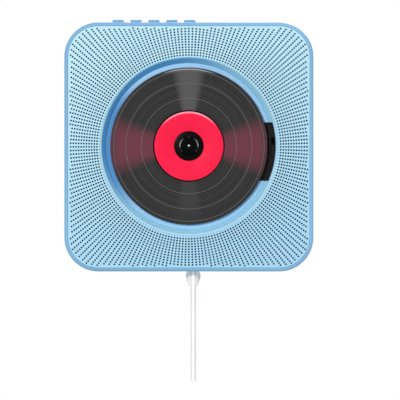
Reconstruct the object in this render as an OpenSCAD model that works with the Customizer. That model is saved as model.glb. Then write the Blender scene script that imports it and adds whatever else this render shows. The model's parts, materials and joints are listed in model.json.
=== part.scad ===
// Wall mounted disc player. The wall is the plane y = 0, the front faces -Y and +Z is up.
// Most pieces are drawn lying on their backs, with z as the height off the wall.

/* [Body] */
// Width and height of the square body
body_w = 190; // [188:1:196]
// Depth from the wall to the front panel
body_depth = 42; // [41:0.5:46]
// Radius of the body's corners seen from the front
corner_r = 26; // [24:0.5:27]
// Wall thickness of the frame
shell_t = 2.4; // [2:0.1:2.5]
// Width of the rounded rim round the front panel
rim_w = 2.6; // [2.5:0.1:3]
// Radius of the rounded rim
rim_r = 5; // [4:0.5:6]
// Thickness of the rear cover
cover_t = 2.5; // [2:0.1:3]

/* [Front panel] */
// Thickness of the perforated panel
panel_t = 1.6; // [1.2:0.1:2]
// Groove between the rim and the panel
panel_gap = 0.25; // [0.1:0.05:0.4]
// Number of radial lines of holes
hole_lines = 100; // [60:4:100]
// Distance between the rings of holes
hole_pitch = 4.04; // [4:0.02:6]
// Diameter of a hole
hole_d = 1.7; // [1.2:0.1:2]
// Radius of the innermost ring of holes
first_ring = 70.2; // [70:0.1:72]
// Plain band between the last holes and the panel's edge
plain_band = 1.2; // [1:0.1:2]
// Thickness of the baffle behind the panel
baffle_t = 1.6; // [1.2:0.1:2]

/* [Disc well] */
// Diameter of the well at the foot of its lip
well_d = 132.6; // [132:0.2:133.4]
// Radius of the rounded lip
lip_r = 2.2; // [1.8:0.1:2.3]
// Depth of the well floor below the front
well_depth = 9.5; // [9:0.1:10.5]
// How far the wall slopes inwards on its way down
wall_slope = 3; // [2:0.1:3.4]
// Thickness of the well floor
well_t = 2; // [1.6:0.1:2.4]
// Height of the well's centre over the body's centre
well_up = 0.7; // [0:0.1:1.2]
// Upper edge of the deck opening above the disc's centre
notch_up = 18.1; // [17.5:0.1:18.5]
// Lower edge of the deck opening below the disc's centre
notch_down = 26.7; // [26:0.1:27.2]
// Left edge of the deck opening
notch_left = 32; // [30:0.5:34]

/* [Disc and turntable] */
// Diameter of the disc
disc_d = 120; // [118:0.5:121]
// Thickness of the disc
disc_t = 1.2; // [1:0.1:1.4]
// Diameter of the hole in the disc
disc_hole = 15; // [14.8:0.1:15.4]
// Depth of the disc's face below the front panel
disc_sink = 5.7; // [5.2:0.1:6]
// Inner diameter of the printed label
label_in = 22.8; // [20:0.2:26]
// Outer diameter of the printed label
label_out = 52.6; // [46:0.2:60]
// Diameter of the turntable's platform
platter_d = 29.4; // [28:0.2:30]
// Height of the domed chuck over the disc
chuck_up = 1.5; // [1:0.1:2]
// Diameter of the motor shaft
shaft_d = 2; // [1.8:0.1:2.4]

/* [Pickup] */
// Distance of the lens from the spindle at rest
lens_in = 24; // [23:0.5:25]
// Travel of the pickup
travel = 34; // [30:1:34]
// Diameter of the lens
lens_d = 4; // [3.6:0.1:4.4]
// Diameter of the guide rods
rod_d = 3; // [2.6:0.1:3.2]
// Gear module
gear_m = 0.6; // [0.58:0.01:0.6]
// Teeth of the small wheel that drives the rack
rack_wheel_teeth = 16; // [15:1:16]
// Teeth of the large wheel
large_wheel_teeth = 32; // [30:1:32]
// Teeth of the motor pinion
pinion_teeth = 10; // [9:1:12]

/* [Buttons] */
// Distance between buttons
button_pitch = 13.7; // [13:0.1:14.2]
// Place of the leftmost button
button_x0 = -54.1; // [-56:0.1:-53]
// Width of a button
button_w = 8.5; // [7.5:0.1:9]
// Thickness of a button, front to back
button_h = 5.4; // [4.8:0.1:6]
// Height of a button over the body
button_up = 2; // [1.5:0.1:2.4]
// Travel of a button
button_travel = 0.8; // [0.5:0.1:0.9]
// Distance of the buttons from the wall
button_z = 24; // [23:0.5:25]

/* [Speakers] */
// Distance of a speaker from the body's sides
speaker_edge = 8.5; // [8:0.1:9.5]
// Clearance between a speaker and the well
speaker_gap = 0.2; // [0.1:0.1:1]
// Depth of a speaker
speaker_h = 18; // [16:0.5:20]
// Diameter of a speaker's magnet
magnet_d = 26; // [24:0.5:28]

/* [Pull cord] */
// Diameter of the cord
cord_d = 4; // [3.6:0.1:4.2]
// Place of the cord right of the middle
cord_x = 3.3; // [2:0.1:5]
// Distance of the cord from the wall
cord_z = 21; // [20:0.5:22]
// Travel of the cord when it is pulled
pull = 4; // [3:0.5:4.5]
// Largest diameter of the grommet
grommet_d = 11.3; // [10.6:0.1:12]
// Length of the grommet below the body
grommet_l = 11; // [10:0.5:12]

/* [Wall bracket] */
// Width of the bracket plate
bracket_w = 96; // [92:1:100]
// Height of the bracket plate
bracket_h = 44; // [42:1:46]
// Thickness of the bracket plate
bracket_t = 2; // [1.6:0.1:2.2]
// Distance between the screw holes, across
bolt_x = 76; // [72:1:78]
// Distance between the screw holes, up
bolt_y = 28; // [26:0.5:30]
// Diameter of the screw holes
bolt_d = 4.5; // [4:0.1:5]
// Height of the hooks' tongues
hook_h = 7; // [6:0.5:7.5]
// How far the player lifts to come off its hooks
lift = 8; // [7.5:0.5:8.5]

/* [Clearances] */
// Running clearance of shafts, all round
run_fit = 0.05; // [0.02:0.01:0.08]
// Clearance between pieces that move past each other
gap = 0.3; // [0.25:0.05:0.4]
// Clearance between fixed pieces that are pushed together
seat = 0.1; // [0.05:0.01:0.15]

/* [Hidden] */
$fn = 96;

// Body
half = body_w / 2;
arc_at = half - corner_r;
inner = half - shell_t;
rim_foot = body_depth - sqrt(rim_r * rim_r - pow(rim_r - rim_w, 2));
pad_proud = 1;
pad_r = 7;
pad_sink = 0.8;
pad_x = half - 27;
pad_y = half - 18;
cover_edge = 1;
cover_in = pad_proud + cover_t;
panel_back = body_depth - panel_t;
baffle_front = panel_back - seat;
baffle_back = baffle_front - baffle_t;
ledge_t = 1.8;
ledge_low = baffle_back - ledge_t;
panel_ledge = 4.9;
baffle_ledge = 7.4;
tongue_t = 1.3;
tongue_h = 3;
boss_r = 3.2;
boss_top = 24;
pilot_r = 1.1;
boss_sink = 0.6;
case_screw_l = 12;
deck_screw_l = 5;
board_screw_l = 5.4;
switch_screw_l = 6;
strip_screw_l = 3.2;
corner_boss = arc_at + (corner_r - shell_t - boss_r + boss_sink) / sqrt(2);
edge_boss = inner - boss_r + boss_sink;
case_bosses = [[-corner_boss, corner_boss], [corner_boss, corner_boss],
    [-edge_boss, -28], [edge_boss, -28], [-30, -edge_boss], [30, -edge_boss]];

// Wall bracket
hook_x = 24;
hook_w = 14;
hook_t = 1.8;
hook_y = 4;
stem_t = 2.4;
strip_z = bracket_t + 0.5;
strip_h = 5;
hanger_t = 1.6;
tongue_z = strip_z + hanger_t + 0.5;
pocket_gap = 0.7;
pocket_w = bracket_w + 2 * pocket_gap;
pocket_floor = tongue_z + hook_t + 0.6;
pocket_wall = 1.5;
pocket_low = -bracket_h / 2 - lift - pocket_gap;
pocket_high = bracket_h / 2 + pocket_gap;
strip_half = pocket_w / 2 + 9;

// Disc well
well_r = well_d / 2;
lip_out = well_r + lip_r;
well_floor = body_depth - well_depth;
well_under = well_floor - well_t;
floor_r = well_r - wall_slope;
lip_foot = body_depth - lip_r;
flange_r = lip_out + 2.9;
ear_r = 3;
ear_at = lip_out + 4.5;
deck_posts = [[-notch_left - 6, notch_up + 5.9], [-notch_left - 6, -notch_down - 6.3],
    [52, notch_up + 8.9], [52, -notch_down - 7.3]];
post_r = 3;
post_tip_r = 1.8;

// Disc and turntable
disc_front = body_depth - disc_sink;
disc_back = disc_front - disc_t;
label_t = 0.15;
pad_t = 0.5;
platter_top = disc_back - gap / 2 - pad_t;
platter_t = 1.6;
chuck_r = disc_hole / 2 - 0.2;
hub_r = 5;

// Deck
deck_top = well_floor - 0.6;
deck_t = 1.6;
deck_corner = 4;
slot_end = lens_in + travel + lens_d / 2 + 1.2;
recess_wall = 1.2;
recess_x = slot_end + recess_wall;
recess_floor = well_floor - 2.4;
scoop_x = 56;
scoop_y = 8.5;
flange_w = 2;
flange_t = 1.1;
end_wall = 1.2;
chassis_z = well_under - 11.5;
chassis_t = 1.6;
chassis_top = chassis_z + chassis_t;
chassis_x0 = deck_posts[0].x - 7;
chassis_y0 = deck_posts[3].y - 6;
chassis_y1 = deck_posts[2].y + 5;
chassis_corner = 5;
damper_r = 4.2;
damper_neck = 2.9;
damper_lip = 1.4;
motor_r = 12;
motor_top = deck_top - 2.3;
rod_z = deck_top - 6.1;
rod_r = rod_d / 2;
rod_y = 14;
rod_x0 = lens_in - 10.5;
rod_x1 = lens_in + travel + 6;
rod2_y = -13;
post_l = 4;
post_w = 5;
sled_z0 = deck_top - 8.5;
sled_top = deck_top - 3.9;
sled_in = 7;
sled_out = 5;
sled_y0 = -9.5;
sled_l = 26;
bearing_in = 10;
bearing_w = 6;
arm_l = 9;
arm_top = sled_top + 0.2;
turret_r = 2.8;
turret_top = deck_top - 1.8;
lens_rim = well_floor + 0.5;
rack_y = -18;
rack_t = 1.4;
rack_back = rack_y + 1.1 * gear_m + rack_t;
rack_wheel_r = gear_m * rack_wheel_teeth / 2;
large_wheel_r = gear_m * large_wheel_teeth / 2;
pinion_r = gear_m * pinion_teeth / 2;
mesh_slack = 0.12;
gear_x = lens_in + travel / 2;
gear_y = rack_y - rack_wheel_r - mesh_slack;
pinion_x = gear_x - large_wheel_r - pinion_r - mesh_slack;
pin_r = 1;
large_z = chassis_top + 0.4;
large_t = 1.5;
small_z = large_z + large_t;
small_t = 2.4;
sled_motor_r = 7.5;
sled_motor_h = chassis_z - pocket_floor - pocket_wall - 1.5;

// Main board and ports
board_z = 10;
board_t = 1.6;
board_top = board_z + board_t;
board_x0 = 33 - half;
board_x1 = inner - 0.6;
board_y1 = half - 17;
board_y0 = board_y1 - 45;
board_posts = [[board_x0 + 5, board_y0 + 4], [board_x0 + 5, board_y1 - 4],
    [board_x1 - 62, board_y0 + 4], [board_x1 - 32, board_y1 - 4]];
usb_y = board_y1 - 12;
audio_y = board_y1 - 26;
dc_y = board_y1 - 38;
// Places on the board, from its upper left corner
chips = [[54, -24, 14, 14, 1.6], [28, -19.5, 9, 12, 1.4], [82, -32, 10, 7, 2]];
capacitors = [[14, -34, 8], [24, -34, 8], [42, -34, 8], [102, -16, 6.3], [112, -16, 6.3]];
connectors = [[16, -6], [56, -6]];
connector_size = [16, 4.6, 5];

// Buttons
button_x = [for (i = [0:4]) button_x0 + i * button_pitch];
button_board_x0 = button_x[0] - 8;
button_board_x1 = button_x[4] + 8;
board_line = inner - 9.4;
button_board_h = 12;
rib_h = button_board_h + 3;
strip_t = 1.2;
switch_h = 3.4;
stem_in = 0.5;
stem_r = 1.6;
rib_t = 2;

// Speakers
speaker_r = ((half - speaker_edge) * sqrt(2) - flange_r - speaker_gap) / (1 + sqrt(2));
speaker_at = half - speaker_edge - speaker_r;
vent_y = 31.5 - speaker_at;
vent_pitch = 5;
cone_r = speaker_r - 3.4;
speaker_front = baffle_back;
magnet_t = 5.5;

// Pull cord
cord_r = cord_d / 2;
bore_r = cord_r + gap;
grommet_neck = 4.2;
seam_y = -half - 6;
// Where the cord runs, from the seam in the grommet to its end: distances below the body
cord_down = [6, 11, 16.5, 22, 27.5, 33, 38.5, 44, 49.5, 55, 60.5, 66, 71.5, 77, 83.7];
switch_w = 18;
switch_low = 4.4 - half;
switch_l = 18;
switch_d = 14;
switch_post_x = 12;
switch_post_y = switch_low + 9.6;
collar_r = 3.2;
collar_t = 2;

// Turns a piece drawn on its back so that it hangs on the wall
module on_wall() rotate([90, 0, 0]) children();

// Moves a piece to the disc's axis
module at_disc() translate([0, well_up, 0]) children();

module rounded_rect(w, h, r) {
    square([w, h - 2 * r], center = true);
    square([w - 2 * r, h], center = true);
    for (sx = [-1, 1], sy = [-1, 1])
        translate([sx * (w / 2 - r), sy * (h / 2 - r)]) circle(r);
}

module rounded_square(w, r) rounded_rect(w, w, r);

// Carries a profile round the body: x = 0 is at the corner arcs' centres, y is the height off the wall
module round_the_body()
    for (side = [0:3]) rotate(90 * side) {
        translate([arc_at, arc_at, 0]) rotate_extrude(angle = 90) children();
        translate([arc_at, arc_at, 0]) rotate([90, 0, 0]) linear_extrude(2 * arc_at) children();
    }

// The wall, the ledges of the baffle and the panel, and the rim, in one outline
module frame_profile() intersection() {
    polygon([[corner_r, cover_in], [corner_r, body_depth], [corner_r - rim_w, body_depth],
        [corner_r - rim_w, panel_back], [corner_r - panel_ledge, panel_back], [corner_r - panel_ledge, baffle_back],
        [corner_r - baffle_ledge, baffle_back], [corner_r - baffle_ledge, ledge_low],
        [corner_r - shell_t, ledge_low], [corner_r - shell_t, cover_in]]);
    union() {
        square([corner_r, rim_foot]);
        translate([corner_r - rim_r, rim_foot]) circle(rim_r);
        translate([0, rim_foot - 1]) square([corner_r - rim_r, rim_r]);
    }
}

module frame_shell() round_the_body() frame_profile();

module port_cuts() {
    translate([inner - 1, usb_y - 6.8, board_top + 0.7]) cube([shell_t + 2, 13.6, 6.2]);
    for (p = [[audio_y, 3.6, 4.5], [dc_y, 4.1, 5.5]])
        translate([inner - 1, p[0], board_top + p[2]]) rotate([0, 90, 0]) cylinder(r = p[1], h = shell_t + 2);
}

module button_cuts()
    for (x = button_x)
        translate([x, inner - 1, button_z]) rotate([-90, 0, 0])
            linear_extrude(shell_t + 2) rounded_rect(button_w + 2 * gap, button_h + 2 * gap, 1.5 + gap);

module board_ribs() {
    reach = inner - board_line + 3.2;
    for (x = [button_board_x0 - 1, button_board_x1 - 1])
        difference() {
            translate([x, inner - reach, button_z - rib_h / 2]) cube([rib_t, reach + boss_sink, rib_h]);
            translate([x + (x < -20 ? 1 : -0.1), board_line - strip_t - seat, button_z - button_board_h / 2 - seat])
                cube([1.1, strip_t + 2 * seat, button_board_h + 2 * seat]);
        }
}

module front_frame() color("#8fc0ea") on_wall() difference() {
    union() {
        frame_shell();
        for (p = case_bosses)
            translate([p.x, p.y, cover_in]) cylinder(r = boss_r, h = boss_top - cover_in);
        board_ribs();
    }
    for (p = case_bosses)
        translate([p.x, p.y, cover_in - 1]) cylinder(r = pilot_r, h = boss_top - cover_in - 3);
    button_cuts();
    port_cuts();
    translate([cord_x, -inner + 1, cord_z]) rotate([90, 0, 0]) cylinder(r = grommet_neck + seat, h = shell_t + 2);
}

panel_w = body_w - 2 * (rim_w + panel_gap);
panel_r = corner_r - rim_w - panel_gap;

// Is this point far enough from the panel's edge for a hole?
function holds_hole(x, y) =
    let (h = panel_w / 2 - plain_band - hole_d / 2, r = panel_r - plain_band - hole_d / 2,
        u = abs(x) - (h - r), v = abs(y + well_up) - (h - r))
    u <= r && v <= r && (u <= 0 || v <= 0 || norm([u, v]) <= r);

module grille_panel() color("#aedef6") on_wall() translate([0, 0, panel_back]) linear_extrude(panel_t)
    difference() {
        rounded_square(panel_w, panel_r);
        at_disc() {
            circle(lip_out + panel_gap);
            for (ring = [0:12], line = [0:hole_lines - 1])
                let (r = first_ring + ring * hole_pitch, a = line * 360 / hole_lines, x = r * cos(a), y = r * sin(a))
                if (holds_hole(x, y)) translate([x, y]) circle(d = hole_d, $fn = 16);
        }
    }

module each_speaker() for (side = [-1, 1]) translate([side * speaker_at, -speaker_at]) children();

module baffle() color("#202428") on_wall() translate([0, 0, baffle_back]) linear_extrude(baffle_t)
    difference() {
        rounded_square(body_w - 2 * (panel_ledge + seat), corner_r - panel_ledge - seat);
        at_disc() circle(lip_out + seat);
        each_speaker() circle(cone_r + 0.6);
        well_holes(1.4);
    }

module well_holes(r) at_disc() for (a = [0:90:270]) rotate(a) translate([ear_at, 0]) circle(r);

module well_profile() {
    difference() {
        polygon([[0, well_under], [floor_r + well_t, well_under], [lip_out, lip_foot - 3],
            [lip_out, body_depth], [well_r, body_depth], [well_r, lip_foot],
            [floor_r, well_floor], [0, well_floor]]);
        translate([well_r - 1, lip_foot]) square([lip_r + 1, lip_r + 1]);
    }
    intersection() {
        translate([lip_out, lip_foot]) circle(lip_r);
        translate([well_r, lip_foot]) square([lip_r, lip_r]);
    }
    translate([lip_out - 1, ledge_low]) square([flange_r - lip_out + 1, ledge_t]);
}

// The deck opening in the well floor, grown by a margin
module deck_outline(grow) {
    low = -notch_down - grow;
    high = notch_up + grow;
    translate([-notch_left - grow + deck_corner, low]) square([notch_left + grow - deck_corner + well_r, high - low]);
    translate([-notch_left - grow, low + deck_corner]) square([deck_corner + 1, high - low - 2 * deck_corner]);
    for (y = [low + deck_corner, high - deck_corner])
        translate([-notch_left - grow + deck_corner, y]) circle(deck_corner);
}

// Everything left of this line
module left_of(x) translate([x - 200, -100]) square(200);

module disc_well() color("#9bcdf0") on_wall() at_disc() difference() {
    union() {
        rotate_extrude() well_profile();
        for (a = [0:90:270]) rotate(a) translate([ear_at, 0, ledge_low]) cylinder(r = ear_r, h = ledge_t);
        for (p = deck_posts) translate([p.x, p.y, 0]) {
            translate([0, 0, chassis_top + damper_lip + seat])
                cylinder(r = post_r, h = well_under + 0.5 - chassis_top - damper_lip - seat);
            translate([0, 0, chassis_z - damper_lip]) cylinder(r = post_tip_r, h = 6);
        }
    }
    intersection() {
        translate([0, 0, well_under - 1]) linear_extrude(lip_foot - well_under + 1 - seat)
            union() {
                deck_outline(0);
                translate([floor_r - 6, -notch_down]) square([20, notch_down + notch_up]);
            }
        cylinder(r = well_r + end_wall, h = body_depth);
    }
    for (p = deck_posts) translate([p.x, p.y, chassis_z - damper_lip - 1]) cylinder(r = 0.8, h = 7);
    for (a = [0:90:270]) rotate(a) translate([ear_at, 0, ledge_low - 1]) cylinder(r = 1.4, h = ledge_t + 2);
}

module pan_screw(head_r, head_t, shank_r, shank_l) {
    difference() {
        cylinder(r = head_r, h = head_t);
        for (a = [0, 90]) rotate(a) translate([-head_r * 0.55, -0.3, -1]) cube([head_r * 1.1, 0.6, 1.6]);
    }
    translate([0, 0, head_t - 0.01]) cylinder(r = shank_r, h = shank_l);
}

module well_screws() color("silver") on_wall() at_disc()
    for (a = [0:90:270]) rotate(a) translate([ear_at, 0, ledge_low - 1.2])
        pan_screw(2.2, 1.2, 1.3, ledge_t + baffle_t);

module rear_cover() color("#8fc0ea") on_wall() difference() {
    union() {
        cover_plate();
        cover_tongue();
        translate([0, (pocket_low + pocket_high) / 2, pad_proud]) linear_extrude(pocket_floor + pocket_wall - pad_proud)
            rounded_rect(pocket_w + 2 * pocket_wall, pocket_high - pocket_low + 2 * pocket_wall, 3 + pocket_wall);
        for (side = [-1, 1])
            translate([side * (pocket_w / 2 + 5.5) - 6, hook_y - 2, pad_proud]) cube([12, 9.6, 5.6]);
        for (p = board_posts) translate([p.x, p.y, pad_proud + 1]) cylinder(r = 3, h = board_z - pad_proud - 1);
        for (side = [-1, 1]) translate([cord_x + side * switch_post_x, switch_post_y, pad_proud + 1])
            cylinder(r = 2.8, h = cord_z - switch_d / 2 - pad_proud - 1);
    }
    translate([0, (pocket_low + pocket_high) / 2, -1]) linear_extrude(pocket_floor + 1)
        rounded_rect(pocket_w, pocket_high - pocket_low, 3);
    translate([-strip_half - seat, hook_y + gap - seat, -1])
        cube([2 * (strip_half + seat), strip_h + 2 * seat, strip_z + hanger_t + 1]);
    for (side = [-1, 1]) translate([side * (strip_half - 4), hook_y + gap + strip_h / 2, 0]) cylinder(r = 0.9, h = 6);
    for (p = case_bosses) translate([p.x, p.y, -1]) {
        cylinder(r = 1.6, h = cover_t + 4);
        cylinder(r = 3, h = pad_proud + 2.3);
    }
    for (sx = [-1, 1], sy = [-1, 1])
        translate([sx * pad_x, sy * pad_y, 0]) cylinder(r = pad_r + gap, h = pad_proud + pad_sink);
    for (p = board_posts) translate([p.x, p.y, 4]) cylinder(r = 1, h = board_z);
    for (side = [-1, 1]) translate([cord_x + side * switch_post_x, switch_post_y, 5]) cylinder(r = 0.9, h = cord_z);
    cover_vents();
}

module cover_plate() difference() {
    translate([0, 0, pad_proud]) linear_extrude(cover_t) rounded_square(body_w, corner_r);
    round_the_body() polygon([[corner_r - cover_edge, pad_proud - 0.01], [corner_r + 1, pad_proud - 0.01],
        [corner_r + 1, pad_proud + cover_edge + 1]]);
}

module cover_tongue() difference() {
    translate([0, 0, cover_in - 0.5]) linear_extrude(tongue_h + 0.5) difference() {
        rounded_square(body_w - 2 * (shell_t + seat), corner_r - shell_t - seat);
        rounded_square(body_w - 2 * (shell_t + seat + tongue_t), corner_r - shell_t - seat - tongue_t);
    }
    for (p = case_bosses) translate([p.x, p.y, cover_in]) cylinder(r = boss_r + gap, h = 10);
}

module cover_vents()
    for (row = [0:5], side = [-1, 1])
        translate([side * speaker_at, vent_y - row * vent_pitch, 0]) linear_extrude(10) rounded_rect(magnet_d, 1.8, 0.85);

module hanger_strip() color("silver") on_wall() difference() {
    translate([-strip_half, hook_y + gap, strip_z]) cube([2 * strip_half, strip_h, hanger_t]);
    for (side = [-1, 1]) translate([side * (strip_half - 4), hook_y + gap + strip_h / 2, 0]) cylinder(r = 1.3, h = 9);
}

module strip_screws() color("silver") on_wall()
    for (side = [-1, 1]) translate([side * (strip_half - 4), hook_y + gap + strip_h / 2, strip_z - 1])
        pan_screw(2.2, 1, 0.85, strip_screw_l);

module rubber_pads() color("#303030") on_wall()
    for (sx = [-1, 1], sy = [-1, 1])
        translate([sx * pad_x, sy * pad_y, 0]) cylinder(r = pad_r, h = pad_proud + pad_sink - 0.02);

module case_screws() color("silver") on_wall()
    for (p = case_bosses) translate([p.x, p.y, pad_proud + 0.3]) pan_screw(2.7, 1, 1.05, case_screw_l);

module at_speaker(side) translate([side * speaker_at, -speaker_at, speaker_front]) children();

module basket(side) color("#303236") on_wall() at_speaker(side) difference() {
    rotate_extrude() polygon([[speaker_r, 0], [speaker_r, -1.4], [cone_r + 1.2, -1.4],
        [magnet_d / 2 - 1, magnet_t - speaker_h + 1.2], [magnet_d / 2 - 1, magnet_t - speaker_h],
        [4, magnet_t - speaker_h], [4, magnet_t - speaker_h + 1.2], [magnet_d / 2 - 2.4, magnet_t - speaker_h + 1.2],
        [cone_r - 0.6, -1.6], [cone_r - 0.6, 0]]);
    for (a = [0:90:270]) rotate(a + 45) translate([magnet_d / 2 + 0.6, -3, magnet_t - speaker_h + 1.6])
        cube([8, 6, speaker_h - magnet_t - 3.6]);
}

module cone(side) color("#151515") on_wall() at_speaker(side) rotate_extrude() union() {
    polygon([[cone_r - 0.8, 0], [cone_r - 0.8, -0.8], [cone_r - 2.4, -0.8], [5.2, -5.8], [3.6, -9.4],
        [2.8, -9.4], [4.4, -5.2], [cone_r - 2.6, 0]]);
    polygon([[0, -3.4], [2.6, -3.9], [5.1, -5.3], [4.6, -5.6], [2.4, -4.5], [0, -4]]);
}

module magnet(side) color("#5a5d60") on_wall() at_speaker(side)
    translate([0, 0, -speaker_h]) rotate_extrude()
        polygon([[0, 0], [magnet_d / 2 - 0.8, 0], [magnet_d / 2, 0.8], [magnet_d / 2, magnet_t - 0.8],
            [magnet_d / 2 - 0.8, magnet_t], [0, magnet_t]]);

module speaker_basket_left() basket(-1);
module speaker_basket_right() basket(1);
module speaker_cone_left() cone(-1);
module speaker_cone_right() cone(1);
module speaker_magnet_left() magnet(-1);
module speaker_magnet_right() magnet(1);

// The finger recess seen from the front, within its walls
module recess_plan(wall) intersection() {
    union() {
        translate([recess_x - wall, -notch_down - seat]) square([20, notch_down + notch_up + 2 * seat]);
        for (y = [[-notch_down, -scoop_y], [scoop_y, notch_up]])
            translate([scoop_x - wall, y[0] + (y[0] < 0 ? seat + recess_wall : 0) - wall])
                square([20, y[1] - y[0] - seat - recess_wall + 2 * wall]);
    }
    translate([0, -notch_down + seat + recess_wall - wall])
        square([80, notch_down + notch_up - 2 * (seat + recess_wall - wall)]);
    circle(well_r - 0.2 + wall * 1.1);
}

module deck_cover() color("#161616") on_wall() at_disc() {
    difference() {
        union() {
            translate([0, 0, deck_top - deck_t]) linear_extrude(deck_t) intersection() {
                deck_outline(-seat);
                left_of(recess_x);
            }
            translate([0, 0, well_under - seat - flange_t]) linear_extrude(flange_t) intersection() {
                difference() {
                    deck_outline(flange_w);
                    deck_outline(-flange_w);
                }
                left_of(scoop_x);
            }
            translate([0, 0, recess_floor - deck_t]) linear_extrude(deck_top - recess_floor + deck_t)
                recess_plan(recess_wall);
        }
        translate([0, 0, recess_floor]) linear_extrude(20) recess_plan(0);
        linear_extrude(100) circle(hub_r + 3);
        linear_extrude(100) translate([lens_in - lens_d / 2 - 1.5, -scoop_y + 2.3])
            square([slot_end - lens_in + lens_d / 2 + 1.5, 2 * scoop_y - 4.6]);
        translate([recess_x + 0.8, 1.1, recess_floor - 5]) cube([well_r - recess_x - 1.6, 5.3, 6]);
    }
    translate([0, 0, recess_floor]) linear_extrude(lip_foot - recess_floor - 2 * seat) intersection() {
        difference() {
            circle(well_r + end_wall - seat);
            circle(well_r - 0.2);
        }
        translate([floor_r - 6, -notch_down + seat]) square([20, notch_down + notch_up - 2 * seat]);
    }
}

module deck_chassis() color("#8b8f94") on_wall() at_disc() {
    difference() {
        translate([(rod_x1 + post_l + chassis_x0) / 2, (chassis_y0 + chassis_y1) / 2, chassis_z])
            linear_extrude(chassis_t)
                rounded_rect(rod_x1 + post_l - chassis_x0, chassis_y1 - chassis_y0, chassis_corner);
        for (p = deck_posts) translate([p.x, p.y, 0]) cylinder(r = damper_neck + 2 * seat, h = 40);
        translate([rod_x0 + 1, -9, 0]) cube([rod_x1 - rod_x0 - 2, 18, 40]);
        translate([pinion_x, gear_y, 0]) cylinder(r = 3.4, h = 40);
        translate([gear_x, gear_y, 0]) cylinder(r = pin_r + seat / 2, h = 40);
        cylinder(r = shaft_d / 2 + 1, h = 40);
    }
    for (y = [rod_y, rod2_y]) {
        rod_post(rod_x0 - post_l, y, 1.5);
        rod_post(rod_x1, y, -1);
    }
}

// A post that holds one end of a rod in a blind hole
module rod_post(x, y, hole_x) difference() {
    translate([x, y - post_w / 2, chassis_top - 0.5]) cube([post_l, post_w, arm_top - chassis_top + 0.5]);
    translate([x + hole_x, y, rod_z]) rotate([0, 90, 0]) cylinder(r = rod_r + run_fit, h = post_l - 0.5);
}

module deck_dampers() color("#202020") on_wall() at_disc() for (p = deck_posts) translate([p.x, p.y, 0])
    rotate_extrude() difference() {
        translate([post_tip_r + 2 * seat, chassis_z - damper_lip])
            square([damper_r - post_tip_r - 2 * seat, chassis_t + 2 * damper_lip]);
        translate([damper_neck, chassis_z - seat]) square([damper_r, chassis_t + 2 * seat]);
    }

module deck_screws() color("silver") on_wall() at_disc() for (p = deck_posts)
    translate([p.x, p.y, chassis_z - damper_lip - 1.3]) pan_screw(3.4, 1.2, 0.8, deck_screw_l);

module spindle_motor() color("#c8ccd0") on_wall() at_disc() difference() {
    translate([0, 0, chassis_top]) rotate_extrude()
        polygon([[0, 0], [motor_r, 0], [motor_r, motor_top - chassis_top - 1],
            [motor_r - 1, motor_top - chassis_top], [0, motor_top - chassis_top]]);
    translate([0, 0, chassis_top + 1.5]) cylinder(r = shaft_d / 2 + run_fit, h = 20);
}

module spindle_shaft() color("silver") on_wall() at_disc()
    translate([0, 0, chassis_top + 2]) cylinder(r = shaft_d / 2, h = disc_front + chuck_up + 0.4 - chassis_top - 2);

module turntable() color("#1b1b1b") on_wall() at_disc() difference() {
    rotate_extrude() difference() {
        union() {
            translate([0, motor_top + 0.5]) square([hub_r, platter_top - platter_t - motor_top]);
            translate([0, platter_top - platter_t]) square([platter_d / 2, platter_t]);
            translate([0, platter_top]) square([hub_r + 3.5, pad_t]);
            polygon([[0, disc_back - 0.2], [chuck_r, disc_back - 0.2], [chuck_r, disc_front],
                [chuck_r - 0.5, disc_front + chuck_up * 0.55], [chuck_r - 1.7, disc_front + chuck_up * 0.9],
                [chuck_r - 3.2, disc_front + chuck_up], [0, disc_front + chuck_up]]);
        }
        square([shaft_d / 2, 100]);
        translate([hub_r + 3.5, platter_top]) square([20, pad_t]);
    }
    for (a = [90, 210, 330]) rotate(a) translate([chuck_r - 2.4, -1.2 - seat, disc_back + 0.2])
        cube([4, 2.4 + 2 * seat, disc_t + 0.9]);
}

module turntable_pad() color("#2a2a2a") on_wall() at_disc() translate([0, 0, platter_top])
    linear_extrude(pad_t) difference() {
        circle(platter_d / 2 - 0.4);
        circle(hub_r + 3.5 + seat);
    }

module chuck_jaws() color("#3a3a3a") on_wall() at_disc() for (a = [90, 210, 330]) rotate(a)
    intersection() {
        translate([chuck_r - 2.4, -1.2, disc_back + 0.3]) cube([2.7, 2.4, disc_t + 0.6]);
        cylinder(r = chuck_r + 0.1, h = 60);
    }

module disc() color("#1f1d1e") on_wall() at_disc() translate([0, 0, disc_back]) linear_extrude(disc_t)
    difference() {
        circle(disc_d / 2);
        circle(disc_hole / 2);
    }

module disc_label() color("#fd244d") on_wall() at_disc() translate([0, 0, disc_front]) linear_extrude(label_t)
    difference() {
        circle(label_out / 2);
        circle(label_in / 2);
    }

module guide_rods() color("silver") on_wall() at_disc() for (y = [rod_y, rod2_y])
    translate([rod_x0 - post_l + 1.7, y, rod_z]) rotate([0, 90, 0])
        cylinder(r = rod_r, h = rod_x1 - rod_x0 + 2 * (post_l - 1.7));

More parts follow.
